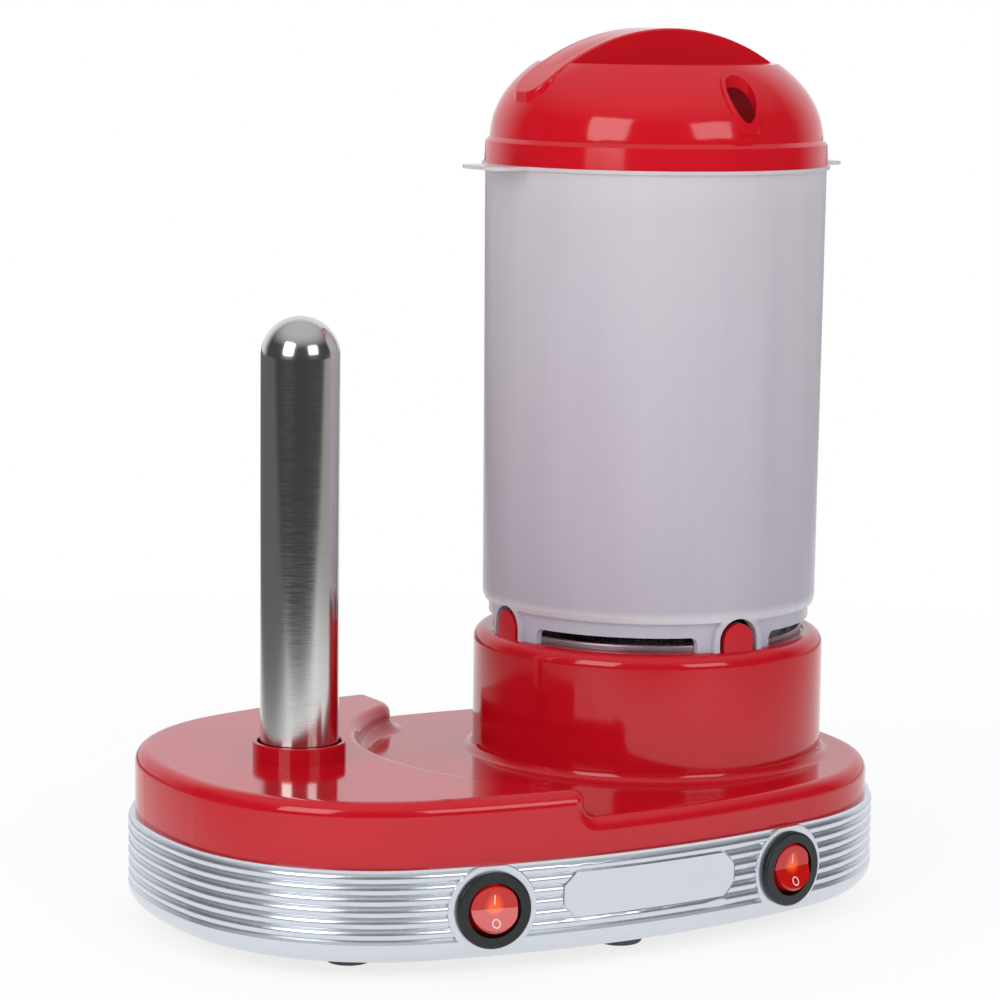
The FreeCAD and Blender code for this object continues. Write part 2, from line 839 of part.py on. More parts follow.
def bracket_screws():
    head_z = bracket_bottom_z - shield_thickness
    screws = []
    for side in (-1.0, 1.0):
        x = boiler_x + side * bracket_screw_offset
        screws.append(screw(x, 0.0, head_z, bracket_screw_length - 1.0, bracket_screw_radius,
                            bracket_screw_head, bracket_screw_radius))
    return group(screws)


# Mains entry
def gland_placement():
    return panel_placement(0.0, gland_z, skirt_crest, front=False)


def cord_gland():
    flange = Part.makeCylinder(gland_radius, gland_flange, V(0, 0, -gland_flange), UP)
    neck = Part.makeCylinder(gland_neck_radius, gland_depth, V(0, 0, -gland_depth), UP)
    bore = Part.makeCylinder(gland_bore_radius, gland_depth * 2.0, V(0, 0, -gland_depth * 1.5), UP)
    return placed(flange.fuse(neck).cut(bore).removeSplitter(), gland_placement())


def gland_nut():
    top = -skirt_wall - gland_nut_gap
    nut = tube(gland_nut_radius, gland_neck_radius, top - gland_nut_thickness, top)
    return placed(nut, gland_placement())


def terminal_block():
    half_x = block_length / 2.0
    half_y = block_width / 2.0
    low = plate_top_z
    body = block(block_x - half_x, block_x + half_x, block_y - half_y, block_y + half_y,
                 low, low + block_height)
    for index in range(block_ways):
        x = block_x + (index - (block_ways - 1) / 2.0) * block_pitch
        start = V(x, block_y - block_width, low + block_height / 2.0)
        body = body.cut(Part.makeCylinder(block_bore, block_width * 2.0, start, V(0, 1, 0)))
    return body


# Switches, in panel coordinates
def switch_housing():
    flange = Part.makeCylinder(flange_radius, flange_thickness, V(0, 0, 0), UP)
    rim = edges_where(flange, lambda s: all(p.z > flange_thickness - 0.01 for p in s))
    flange = flange.makeFillet(flange_edge, rim)
    barrel = Part.makeCylinder(barrel_radius, barrel_depth, V(0, 0, -barrel_depth), UP)
    mouth = cylinder(mouth_radius, flange_thickness - mouth_depth - 1.0, flange_thickness + 1.0)
    pocket = cylinder(pocket_radius, barrel_back - barrel_depth, flange_thickness - mouth_depth)
    body = flange.fuse(barrel).cut(mouth).cut(pocket)
    body = body.cut(switch_pivot_rod(pivot_radius))
    for blade in switch_blades():
        body = body.cut(blade)
    return body.removeSplitter()


def switch_pivot_rod(radius):
    start = V(-barrel_radius, 0, -pivot_depth)
    return Part.makeCylinder(radius, barrel_radius * 2.0, start, V(1, 0, 0))


def switch_rocker():
    """Round rocker with two sloping faces that meet in the middle, its top pressed in."""
    reach = rocker_sphere
    post = cylinder(rocker_radius, -rocker_underside, reach)
    body = post.common(Part.makeSphere(rocker_sphere, V(0, 0, 0)))
    rise = reach * math.tan(math.radians(rocker_slope))
    for side in (-1.0, 1.0):
        points = [
            V(-reach, 0, rocker_centre_height), V(-reach, side * reach, rocker_centre_height + rise),
            V(-reach, side * reach, reach * 2.0), V(-reach, 0, reach * 2.0)]
        wedge = Part.Face(Part.makePolygon(points + points[:1])).extrude(V(reach * 2.0, 0, 0))
        body = body.cut(wedge)
    bore_radius = pivot_radius + pivot_clearance
    body = body.cut(Part.makeCylinder(bore_radius, reach * 2.0, V(-reach, 0, 0), V(1, 0, 0)))
    body.rotate(V(0, 0, 0), V(1, 0, 0), -rocker_tilt)
    body.translate(V(0, 0, -pivot_depth))
    return body


def switch_blades():
    blades = []
    for index in (-1, 0, 1):
        y = index * blade_spacing
        z1 = barrel_back - barrel_depth
        z0 = -barrel_depth - blade_length
        half_x = blade_width / 2.0
        half_y = blade_thickness / 2.0
        blades.append(block(-half_x, half_x, y - half_y, y + half_y, z0, z1))
    return blades


def switch_lamp():
    z = barrel_back - barrel_depth + lamp_radius
    return Part.makeCylinder(lamp_radius, lamp_length, V(-lamp_length / 2.0, 0, z), V(1, 0, 0))


# Container
def radial_slab(outline, near, far):
    """Solid on the +X side of the boiler axis from (y, z) edges, between two radii."""
    face = Part.Face(Part.Wire(Part.__sortEdges__(outline)))
    face.translate(V(near / 2.0, 0, 0))
    slab = face.extrude(V(far, 0, 0))
    zs = [vertex.Z for vertex in face.Vertexes]
    return slab.common(tube(far, near, min(zs) - far, max(zs) + far))


def leg_outline():
    """Leg under a tab arch: straight foot with flared corners into the span above."""
    half = leg_half_width
    low = housing_top_z
    knee = span_z - leg_flare
    wide = half + leg_flare
    cos45 = math.sqrt(0.5)
    edges = [
        Part.makeLine(V(0, -half, low), V(0, half, low)),
        Part.makeLine(V(0, half, low), V(0, half, knee)),
        Part.makeLine(V(0, wide, span_z + 0.5), V(0, -wide, span_z + 0.5)),
        Part.makeLine(V(0, wide, span_z), V(0, wide, span_z + 0.5)),
        Part.makeLine(V(0, -wide, span_z), V(0, -wide, span_z + 0.5)),
        Part.makeLine(V(0, -half, knee), V(0, -half, low))]
    for side in (-1.0, 1.0):
        middle = V(0, side * (wide - leg_flare * cos45), knee + leg_flare * cos45)
        edges.append(Part.Arc(V(0, side * half, knee), middle, V(0, side * wide, span_z)).toShape())
    return edges


def arch_outline(radius, foot_z):
    """Doorway with a round head, over a tab."""
    right = V(0, radius, tab_round_z)
    left = V(0, -radius, tab_round_z)
    return [
        Part.makeLine(V(0, -radius, foot_z), V(0, radius, foot_z)),
        Part.makeLine(V(0, radius, foot_z), right),
        Part.Arc(right, V(0, 0, tab_round_z + radius), left).toShape(),
        Part.makeLine(left, V(0, -radius, foot_z))]


def round_boiler(shape):
    """The shape at each tab, round the boiler's axis."""
    copies = []
    for index in range(tab_count):
        copy = shape.copy()
        copy.rotate(V(0, 0, 0), UP, 360.0 * index / tab_count)
        copies.append(copy)
    return copies


def container():
    foot_in = foot_ring_radius - foot_ring_wall
    floor_top = container_floor_z + container_floor_thickness
    shell = turned([
        (0.0, container_floor_z), (foot_in, container_floor_z), (foot_in, crease_z),
        (crease_radius, crease_z), (container_foot_radius, crease_z + crease_rise),
        (container_top_radius, container_top_z), (container_top_radius - container_wall, container_top_z),
        (container_foot_radius - container_wall, floor_top), (0.0, floor_top)])
    ring = tube(foot_ring_radius, foot_in, span_z, crease_z + 0.5)
    legs = round_boiler(radial_slab(leg_outline(), foot_in, foot_ring_radius))
    opening = tab_width / 2.0 + arch_clearance
    bead = arch_outline(opening + arch_rim, housing_top_z)
    rims = round_boiler(radial_slab(bead, foot_in, arch_rim_radius))
    rim_in = container_top_radius - container_wall
    rim = tube(rim_radius, rim_in, container_top_z - rim_thickness, container_top_z)
    solid = fused([shell, ring, rim] + legs + rims + [container_ears()])
    below = housing_top_z - 1.0
    doors = round_boiler(radial_slab(arch_outline(opening, below), foot_in - 1.0, rim_radius))
    solid = solid.cut(doors[0].multiFuse(doors[1:]))
    holes = [cylinder(steam_hole_radius, container_floor_z - 1.0, floor_top + 1.0)]
    for ring_index, count in enumerate(steam_ring_counts):
        radius = steam_ring_first + ring_index * steam_ring_pitch
        for index in range(count):
            angle = 2.0 * math.pi * index / count
            x = radius * math.cos(angle)
            y = radius * math.sin(angle)
            holes.append(cylinder(steam_hole_radius, container_floor_z - 1.0, floor_top + 1.0, x, y))
    solid = solid.cut(holes[0].multiFuse(holes[1:])).removeSplitter()
    solid.translate(V(boiler_x, 0, 0))
    return solid


def container_ears():
    """Two rounded grips on the container's rim, in line with the base."""
    half = ear_half_width
    bar = block(-ear_reach, ear_reach, -half, half, container_top_z - rim_thickness, container_top_z)
    bar = bar.makeFillet(ear_corner, edges_where(bar, upright))
    inner = container_top_radius - container_wall
    return bar.cut(cylinder(inner, container_top_z - rim_thickness - 1.0, container_top_z + 1.0))


# Lid
def half_dome(radius, height, z):
    """Solid half ellipsoid on a flat base."""
    ball = Part.makeSphere(1.0, V(0, 0, 0), UP, 0.0, 90.0, 360.0)
    matrix = FreeCAD.Matrix()
    matrix.scale(V(radius, radius, height))
    dome = ball.transformGeometry(matrix)
    dome.translate(V(0, 0, z))
    return dome


def grip_ridge():
    """Ridge across the lid with rounded ends; its top is a shallow arch."""
    top_z = dome_z + dome_height + grip_top_rise
    half = grip_half_width
    length = grip_half_length
    bar = block(-length, length, -half, half, grip_foot_z, top_z + 1.0)
    bar = bar.makeFillet(grip_end_round, edges_where(bar, upright))
    start = V(0, -half * 2.0, top_z - grip_top_radius)
    arch = Part.makeCylinder(grip_top_radius, half * 4.0, start, V(0, 1, 0))
    bar = bar.common(arch)

    def top_edge(samples):
        away = [math.hypot(p.x, p.z - top_z + grip_top_radius) for p in samples]
        return all(abs(d - grip_top_radius) < 0.01 for d in away)

    return bar.makeFillet(grip_edge_round, edges_where(bar, top_edge))


def lid():
    band_top = container_top_z + lid_band_height
    base_z = container_top_z
    band = turned([
        (0.0, base_z), (lid_band_radius, base_z), (lid_band_top_radius, band_top),
        (dome_radius, dome_z), (0.0, dome_z)])
    dome = half_dome(dome_radius, dome_height, dome_z)
    reach = dome_radius * 2.0
    top = dome_z + dome_height * 2.0
    for side in (-1.0, 1.0):
        near = side * grip_half_width
        far = side * reach
        dome = dome.cut(block(-reach, reach, min(near, far), max(near, far), grip_ledge_z, top))
    lip_outer = container_top_radius - container_wall - lid_lip_gap
    lip = cylinder(lip_outer, base_z - lid_lip_depth, base_z)
    raised = steam_vent_rim_height
    rim = cylinder(steam_vent_radius + steam_vent_rim, steam_vent_floor_z - steam_vent_rim,
                   grip_ledge_z - steam_vent_rim, 0.0, -steam_vent_offset)
    rim = rim.common(half_dome(dome_radius + raised, dome_height + raised, dome_z))
    solid = fused([band, dome, grip_ridge(), rim, lip])
    inner_radius = lip_outer - lid_wall
    cavity = half_dome(dome_radius - lid_wall, dome_height - lid_wall, dome_z)
    low = cylinder(reach, dome_z, grip_ledge_z - lid_wall)
    half = grip_half_width - lid_wall
    slot = block(-reach, reach, -half, half, dome_z, top)
    cavity = cavity.common(low.fuse(slot))
    shaft = turned([
        (0.0, base_z - lid_lip_depth - 1.0), (inner_radius, base_z - lid_lip_depth - 1.0),
        (inner_radius, base_z), (dome_radius - lid_wall, dome_z), (0.0, dome_z)])
    solid = solid.cut(shaft).cut(cavity)
    vent = cylinder(steam_vent_radius, steam_vent_floor_z, grip_ledge_z + 1.0, 0.0, -steam_vent_offset)
    solid = solid.cut(vent).removeSplitter()
    solid.translate(V(boiler_x, 0, 0))
    return solid


def main():
    os.makedirs("parts", exist_ok=True)
    builders = [
        top_cover, base_skirt, base_plate, rubber_feet, base_screws,
        spike_tube, spike_flange, spike_collar, spike_heater,
        heater_spacers, spike_clamp, spike_clamp_screws,
        boiler_dish, boiler_seal, heating_element, thermostat, thermal_fuse,
        element_bracket, heat_shield, bracket_screws,
        cord_gland, gland_nut, terminal_block, container, lid]
    for build in builders:
        save(build.__name__, build())
    for side, x in switch_xs.items():
        place = panel_placement(x, switch_z, panel_grow)
        save(side + "_switch_housing", placed(switch_housing(), place))
        save(side + "_rocker", placed(switch_rocker(), place))
        save(side + "_rocker_pivot", placed(switch_pivot_rod(pivot_radius), place))
        save(side + "_switch_lamp", placed(switch_lamp(), place))
        save(side + "_switch_terminals", placed(group(switch_blades()), place))


main()
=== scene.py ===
import json
import math

import bpy
from bpy.props import FloatProperty, FloatVectorProperty, PointerProperty
from mathutils import Matrix, Vector


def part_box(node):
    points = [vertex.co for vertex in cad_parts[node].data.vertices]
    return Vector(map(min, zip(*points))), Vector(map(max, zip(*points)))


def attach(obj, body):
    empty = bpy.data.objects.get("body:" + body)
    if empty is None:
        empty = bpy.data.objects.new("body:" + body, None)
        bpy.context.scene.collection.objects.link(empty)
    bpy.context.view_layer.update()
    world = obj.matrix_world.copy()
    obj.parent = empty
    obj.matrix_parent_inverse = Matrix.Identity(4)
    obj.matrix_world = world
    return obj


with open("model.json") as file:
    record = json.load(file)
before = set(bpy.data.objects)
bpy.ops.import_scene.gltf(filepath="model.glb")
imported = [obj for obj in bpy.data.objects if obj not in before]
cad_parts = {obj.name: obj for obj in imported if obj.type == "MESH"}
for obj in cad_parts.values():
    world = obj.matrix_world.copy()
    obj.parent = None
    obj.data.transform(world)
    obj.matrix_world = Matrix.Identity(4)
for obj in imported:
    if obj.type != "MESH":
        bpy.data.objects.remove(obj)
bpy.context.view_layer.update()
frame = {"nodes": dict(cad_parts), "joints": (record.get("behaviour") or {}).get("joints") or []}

bl_info = {
    "name": "Hot Dog Toaster",
    "version": (1, 0, 0),
    "blender": (4, 5, 0),
    "location": "3D View > Sidebar > Toaster",
    "description": "Finishes and details of a table-top hot dog toaster around its packed frame",
    "category": "Object",
}

MM = 0.001
INK_FLATNESS = 0.16

# Bright flange of the boiler dish, outside its well that is painted dark as painted shade
FLANGE_WIDTH = 5.1 * MM
FLANGE_BLEND = 0.3 * MM

# Glow on a rocker: how far over its pivot the lamp is, and where the light starts and ends
LAMP_RISE = 1.6 * MM
GLOW_FULL = 3.4 * MM
GLOW_NONE = 5.2 * MM


# Colours and nodes

def srgb(text):
    """Linear red, green and blue of an sRGB hex value."""
    values = [int(text[i:i + 2], 16) / 255.0 for i in (1, 3, 5)]
    return [v / 12.92 if v <= 0.04045 else ((v + 0.055) / 1.055) ** 2.4 for v in values]


def rgba(colour):
    return (*colour, 1.0)


def add_node(tree, kind, settings=None, links=None):
    """Adds a node; settings are its sockets or properties by name, links its inputs by socket."""
    node = tree.nodes.new(kind)
    for name, value in (settings or {}).items():
        if isinstance(name, int) or name in node.inputs:
            node.inputs[name].default_value = value
        else:
            setattr(node, name, value)
    for socket, source in (links or {}).items():
        tree.links.new(source, node.inputs[socket])
    return node


def new_material(name, **sockets):
    """A material with a Principled surface; sockets are set on the shader by name."""
    material = bpy.data.materials.new(name)
    material.use_nodes = True
    tree = material.node_tree
    tree.nodes.clear()
    shader = add_node(tree, "ShaderNodeBsdfPrincipled", sockets)
    add_node(tree, "ShaderNodeOutputMaterial", None, {"Surface": shader.outputs["BSDF"]})
    return material, tree, shader


def object_noise(tree, size_mm, detail=3.0, stretch=(1.0, 1.0, 1.0)):
    """Noise on Object coordinates whose features are about size_mm across."""
    coordinates = add_node(tree, "ShaderNodeTexCoord")
    mapping = add_node(tree, "ShaderNodeMapping", {"Scale": stretch},
                       {"Vector": coordinates.outputs["Object"]})
    return add_node(tree, "ShaderNodeTexNoise", {"Scale": 1.0 / (size_mm * MM), "Detail": detail},
                    {"Vector": mapping.outputs["Vector"]})


def vary(tree, shader, socket, noise, low, high):
    """A shader value that follows the noise between two limits."""
    spread = add_node(tree, "ShaderNodeMapRange",
                      {"From Min": 0.3, "From Max": 0.7, "To Min": low, "To Max": high},
                      {"Value": noise.outputs["Fac"]})
    tree.links.new(spread.outputs["Result"], shader.inputs[socket])


def vary_colour(tree, shader, noise, dark, light):
    mix = add_node(tree, "ShaderNodeMix", {"data_type": "RGBA"})
    mix.inputs["Factor"].default_value = 0.5
    tree.links.new(noise.outputs["Fac"], mix.inputs["Factor"])
    mix.inputs[6].default_value = rgba(dark)
    mix.inputs[7].default_value = rgba(light)
    tree.links.new(mix.outputs[2], shader.inputs["Base Color"])


def relief(tree, shader, noise, height_mm, strength=1.0):
    bump = add_node(tree, "ShaderNodeBump", {"Strength": strength, "Distance": height_mm * MM},
                    {"Height": noise.outputs["Fac"]})
    tree.links.new(bump.outputs["Normal"], shader.inputs["Normal"])


def shade(colour, factor):
    return [min(1.0, channel * factor) for channel in colour]


def distance_from(tree, point, stretch=(1.0, 1.0, 1.0)):
    """Distance of the surface from a point, in metres, with each axis stretched."""
    coordinates = add_node(tree, "ShaderNodeTexCoord")
    away = add_node(tree, "ShaderNodeVectorMath", {"operation": "SUBTRACT", 1: tuple(point)},
                    {0: coordinates.outputs["Object"]})
    scaled = add_node(tree, "ShaderNodeVectorMath", {"operation": "MULTIPLY", 1: stretch},
                      {0: away.outputs["Vector"]})
    length = add_node(tree, "ShaderNodeVectorMath", {"operation": "LENGTH"}, {0: scaled.outputs["Vector"]})
    return length.outputs["Value"]


def colour_by_height(tree, stops):
    """Colour that follows the height above the table, from (height in mm, sRGB hex) stops."""
    low = stops[0][0]
    high = stops[-1][0]
    coordinates = add_node(tree, "ShaderNodeTexCoord")
    axes = add_node(tree, "ShaderNodeSeparateXYZ", None, {0: coordinates.outputs["Object"]})
    share = add_node(tree, "ShaderNodeMapRange", {"From Min": low * MM, "From Max": high * MM},
                     {"Value": axes.outputs["Z"]})
    ramp = add_node(tree, "ShaderNodeValToRGB", None, {"Fac": share.outputs["Result"]})
    elements = ramp.color_ramp.elements
    while len(elements) < len(stops):
        elements.new(0.5)
    for element, (height, colour) in zip(elements, stops):
        element.position = (height - low) / (high - low)
        element.color = rgba(srgb(colour))
    return ramp.outputs["Color"]


# Finishes

def glossy_red_polypropylene(finish, name, painted_glow_strength):
    # Injection moulded with a polished tool: deep red, mirror-like, with a very faint waviness
    # A thin wall with light behind it gets a faint painted glow, an emission, also on its dark inner side
    material, tree, shader = new_material(name, IOR=1.5)
    shader.inputs["Emission Color"].default_value = rgba(finish.red)
    shader.inputs["Emission Strength"].default_value = painted_glow_strength
    noise = object_noise(tree, 30.0, 2.0)
    vary(tree, shader, "Roughness", noise, finish.red_roughness * 0.8, finish.red_roughness * 1.25)
    vary_colour(tree, shader, noise, shade(finish.red, 0.96), shade(finish.red, 1.04))
    relief(tree, shader, object_noise(tree, 9.0, 1.0), 0.006)
    return material


def silver_lacquered_abs(finish):
    # Metallic lacquer over moulded plastic: pale, slightly soft highlights, a fine flake
    material, tree, shader = new_material("silver_lacquered_abs", Metallic=0.85, IOR=1.5)
    flake = object_noise(tree, 1.5, 2.0)
    vary(tree, shader, "Roughness", flake, 0.2, 0.26)
    vary_colour(tree, shader, object_noise(tree, 18.0, 2.0), shade(finish.silver, 0.96), finish.silver)
    relief(tree, shader, object_noise(tree, 12.0, 1.0), 0.004)
    return material


def frosted_polypropylene(finish):
    # Natural polypropylene, ground inside: milky and bluer at the foot, with a painted highlight as a pale
    # band along the crease and painted light that makes it paler towards the top
    material, tree, shader = new_material("frosted_polypropylene", IOR=1.3)
    shader.inputs["Transmission Weight"].default_value = finish.frost_clearness
    shader.inputs["Coat Weight"].default_value = 0.4
    shader.inputs["Coat Roughness"].default_value = 0.12
    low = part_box("container")[0].z / MM
    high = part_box("container")[1].z / MM
    # Painted highlight: the pale band at the crease; painted light: paler towards the top
    tint = colour_by_height(tree, [
        (low, "#E2E1ED"), (low + 8.6, "#E9E7F0"), (low + 10.0, "#FCFBFD"), (low + 11.6, "#F8F6F9"),
        (low + 13.5, "#E2DBE6"), (low + 70.0, "#EBE4EB"), (high - 12.0, "#F4EFF3"), (high, "#FCFAFB")])
    streaks = object_noise(tree, 14.0, 3.0, (1.0, 1.0, 0.08))
    mix = add_node(tree, "ShaderNodeMix", {"data_type": "RGBA", "blend_type": "MULTIPLY"})
    tree.links.new(streaks.outputs["Fac"], mix.inputs["Factor"])
    tree.links.new(tint, mix.inputs[6])
    mix.inputs[7].default_value = rgba(finish.frost)
    tree.links.new(mix.outputs[2], shader.inputs["Base Color"])
    vary(tree, shader, "Roughness", streaks, 0.3, 0.42)
    relief(tree, shader, object_noise(tree, 3.0, 2.0, (1.0, 1.0, 0.15)), 0.02)
    return material


def polished_stainless(finish):
    # Drawn tube, buffed round: near mirror with hairline rings
    material, tree, shader = new_material("polished_stainless", Metallic=1.0)
    shader.inputs["Base Color"].default_value = rgba(finish.steel)
    rings = object_noise(tree, 6.0, 4.0, (1.0, 1.0, 30.0))
    vary(tree, shader, "Roughness", rings, 0.1, 0.2)
    relief(tree, shader, rings, 0.003)
    return material


def boiler_steel_with_painted_shade(finish):
    # Bright rolled rim and flange round a well that is painted dark, as painted shade and painted dark
    # reflection inside the dish
    material, tree, shader = new_material("boiler_steel_painted_shade", IOR=1.45)
    low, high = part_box("boiler_dish")
    axis = ((low.x + high.x) / 2.0, (low.y + high.y) / 2.0, 0.0)
    edge = (high.x - low.x) / 2.0 - FLANGE_WIDTH
    painted_dark_well = add_node(tree, "ShaderNodeMapRange",
                      {"From Min": edge, "From Max": edge + FLANGE_BLEND, "To Min": 1.0, "To Max": 0.0},
                      {"Value": distance_from(tree, axis, (1.0, 1.0, 0.0))})
    mix = add_node(tree, "ShaderNodeMix", {"data_type": "RGBA"})
    tree.links.new(painted_dark_well.outputs["Result"], mix.inputs["Factor"])
    mix.inputs[6].default_value = rgba(finish.steel)
    # Painted shade: the well is dark, for the shade and dark reflection inside the dish
    mix.inputs[7].default_value = rgba(srgb("#17181A"))
    tree.links.new(mix.outputs[2], shader.inputs["Base Color"])
    metal = add_node(tree, "ShaderNodeMapRange", {"To Min": 1.0, "To Max": 0.0},
                     {"Value": painted_dark_well.outputs["Result"]})
    tree.links.new(metal.outputs["Result"], shader.inputs["Metallic"])
    grit = object_noise(tree, 1.2, 3.0)
    vary(tree, shader, "Roughness", grit, 0.18, 0.3)
    relief(tree, shader, grit, 0.004)
    return material


def steel_with_painted_reflection():
    # Steel edge dulled by steam and heat, with a mauve that is a painted reflection of the frosted container
    # above it
    material, tree, shader = new_material("steel_with_painted_reflection", Metallic=0.9)
    noise = object_noise(tree, 4.0, 3.0)
    vary(tree, shader, "Roughness", noise, 0.3, 0.42)
    # Painted reflection: the mauve of the frosted container above
    vary_colour(tree, shader, noise, srgb("#A48A99"), srgb("#C2A8B4"))
    relief(tree, shader, noise, 0.003)
    return material


def moulded_nylon(name, colour, low, high, grain_mm=0.8, grain_height=0.012):
    # Fine spark-eroded texture that breaks the highlight up
    material, tree, shader = new_material(name, IOR=1.5)
    noise = object_noise(tree, grain_mm, 3.0)
    vary(tree, shader, "Roughness", noise, low, high)
    vary_colour(tree, shader, noise, shade(colour, 0.9), shade(colour, 1.1))
    relief(tree, shader, noise, grain_height)
    return material


def lit_rocker_polycarbonate(finish):
    # Clear red plastic with a lamp behind: a painted orange glow above the middle, in colour and emission,
    # that fades to deep red
    material, tree, shader = new_material("lit_rocker_polycarbonate", IOR=1.58)
    places = [distance_from(tree, rocker_frame(side)[0] + Vector((0.0, 0.0, LAMP_RISE)), (1.0, 1.0, 0.5))
              for side in SIDES]
    nearest = add_node(tree, "ShaderNodeMath", {"operation": "MINIMUM"}, {0: places[0], 1: places[1]})
    glow = add_node(tree, "ShaderNodeMapRange",
                    {"interpolation_type": "SMOOTHSTEP", "From Min": GLOW_FULL, "From Max": GLOW_NONE,
                     "To Min": 1.0, "To Max": 0.0}, {"Value": nearest.outputs["Value"]})
    # Painted glow: the base colour turns orange near the lamp, as well as the emission
    mix = add_node(tree, "ShaderNodeMix", {"data_type": "RGBA"})
    tree.links.new(glow.outputs["Result"], mix.inputs["Factor"])
    mix.inputs[6].default_value = rgba(finish.rocker)
    mix.inputs[7].default_value = rgba(finish.rocker_glow)
    tree.links.new(mix.outputs[2], shader.inputs["Base Color"])
    tree.links.new(mix.outputs[2], shader.inputs["Emission Color"])
    strength = add_node(tree, "ShaderNodeMapRange",
                        {"To Min": finish.glow_strength * 0.3, "To Max": finish.glow_strength},
                        {"Value": glow.outputs["Result"]})
    tree.links.new(strength.outputs["Result"], shader.inputs["Emission Strength"])
    noise = object_noise(tree, 1.0, 2.0)
    vary(tree, shader, "Roughness", noise, 0.05, 0.1)
    relief(tree, shader, noise, 0.002)
    return material


def printed_white(finish):
    # Thin white ink, a little rough, on the rockers
    material, tree, shader = new_material("printed_white_ink", IOR=1.45)
    noise = object_noise(tree, 0.5, 2.0)
    vary(tree, shader, "Roughness", noise, 0.4, 0.55)
    vary_colour(tree, shader, noise, shade(finish.mark, 0.9), finish.mark)
    return material


def zinc_plated_steel():
    # Dull silver sheet with the soft mottling of a passivated coat
    material, tree, shader = new_material("zinc_plated_steel", Metallic=1.0)
    noise = object_noise(tree, 5.0, 4.0)
    vary(tree, shader, "Roughness", noise, 0.3, 0.48)
    vary_colour(tree, shader, noise, srgb("#9A9C9C"), srgb("#BEBFBC"))
    relief(tree, shader, object_noise(tree, 0.6, 2.0), 0.004)
    return material


def stamped_brass():
    # Warm, slightly oxidised sheet
    material, tree, shader = new_material("stamped_brass", Metallic=1.0)
    noise = object_noise(tree, 3.0, 3.0)
    vary(tree, shader, "Roughness", noise, 0.22, 0.38)
    vary_colour(tree, shader, noise, srgb("#A98646"), srgb("#CFAE68"))
    relief(tree, shader, noise, 0.003)
    return material


def lamp_glass():
    # Clear tube that glows orange
    material, tree, shader = new_material("neon_lamp_glass", IOR=1.47)
    shader.inputs["Base Color"].default_value = rgba(srgb("#FFC9A0"))
    shader.inputs["Transmission Weight"].default_value = 0.8
    shader.inputs["Emission Color"].default_value = rgba(srgb("#FF6A1E"))
    shader.inputs["Emission Strength"].default_value = 2.0
    vary(tree, shader, "Roughness", object_noise(tree, 2.0), 0.02, 0.06)
    return material


# Sizes and colours that a user would change

class ToasterFinish(bpy.types.PropertyGroup):
    red: FloatVectorProperty(name="Red", description="Colour of the cover, collar and lid", subtype="COLOR",
                             size=3, min=0.0, max=1.0, default=srgb("#BA0D1C"))
    red_roughness: FloatProperty(name="Red Roughness", description="How soft the red parts' highlights are",
                                 subtype="FACTOR", min=0.02, max=1.0, default=0.1)
    # Strength of the lid's painted glow, an emission for light through its thin wall
    lid_painted_glow: FloatProperty(name="Lid Glow", description="Light that comes through the lid's thin wall",
                            subtype="FACTOR", min=0.0, max=1.0, default=0.13)
    silver: FloatVectorProperty(name="Silver", description="Colour of the skirt's lacquer", subtype="COLOR",
                                size=3, min=0.0, max=1.0, default=srgb("#D8DDE4"))
    frost: FloatVectorProperty(name="Frost", description="Colour of the container", subtype="COLOR",
                               size=3, min=0.0, max=1.0, default=srgb("#EAE7EE"))
    frost_clearness: FloatProperty(name="Frost Clearness", description="Share of light that goes through",
                                   subtype="FACTOR", min=0.0, max=1.0, default=0.42)
    steel: FloatVectorProperty(name="Steel", description="Colour of the spike and the boiler's flange",
                               subtype="COLOR", size=3, min=0.0, max=1.0, default=srgb("#D9D8D6"))
    rocker: FloatVectorProperty(name="Rocker", description="Colour of the switch rockers", subtype="COLOR",
                                size=3, min=0.0, max=1.0, default=srgb("#B30D0B"))
    rocker_glow: FloatVectorProperty(name="Rocker Glow", description="Light of the lamp behind a rocker",
                                     subtype="COLOR", size=3, min=0.0, max=1.0, default=srgb("#F0560A"))
    glow_strength: FloatProperty(name="Glow Strength", description="How brightly the rockers are lit",
                                 min=0.0, max=10.0, default=0.4)
    mark: FloatVectorProperty(name="Marks", description="Colour of the marks on the rockers",
                              subtype="COLOR", size=3, min=0.0, max=1.0, default=srgb("#F4ECE8"))
    mark_stroke: FloatProperty(name="Mark Stroke", description="Width of a line in a rocker's marks",
                               unit="LENGTH", default=0.3 * MM)
    mark_size: FloatProperty(name="Mark Size", description="Height of a rocker's marks",
                             unit="LENGTH", default=2.9 * MM)
    mark_offset: FloatProperty(name="Mark Offset", description="Distance of a mark from the rocker's middle",
                               unit="LENGTH", default=3.4 * MM)
    rim_bead: FloatProperty(name="Rim Bead", description="Thickness of the boiler's rolled rim",
                            unit="LENGTH", default=2.5 * MM)


def give(material, nodes):
    """The material on CAD nodes, in every one of their slots."""
    for name in nodes:
        piece = frame["nodes"][name]
        if not piece.material_slots:
            piece.data.materials.append(material)
        for slot in piece.material_slots:
            slot.material = material


def finish_settings():
    return bpy.context.scene.toaster_finish


# Pieces made here

SIDES = ("left", "right")


def rocker_frame(side):
    """Pivot of a rocker, the direction along its panel and the direction out of it."""
    joint = next(j for j in frame["joints"] if j["name"] == side + "_switch_rock")
    along = Vector(joint["axis"]).normalized()
    return Vector(joint["pos_m"]), along, along.cross(Vector((0.0, 0.0, 1.0)))


def mesh_object(name, corners, faces, material):
    mesh = bpy.data.meshes.new(name)
    mesh.from_pydata(corners, [], faces)
    mesh.materials.append(material)
    mesh.validate()
    piece = bpy.data.objects.new(name, mesh)
    bpy.context.scene.collection.objects.link(piece)
    return piece


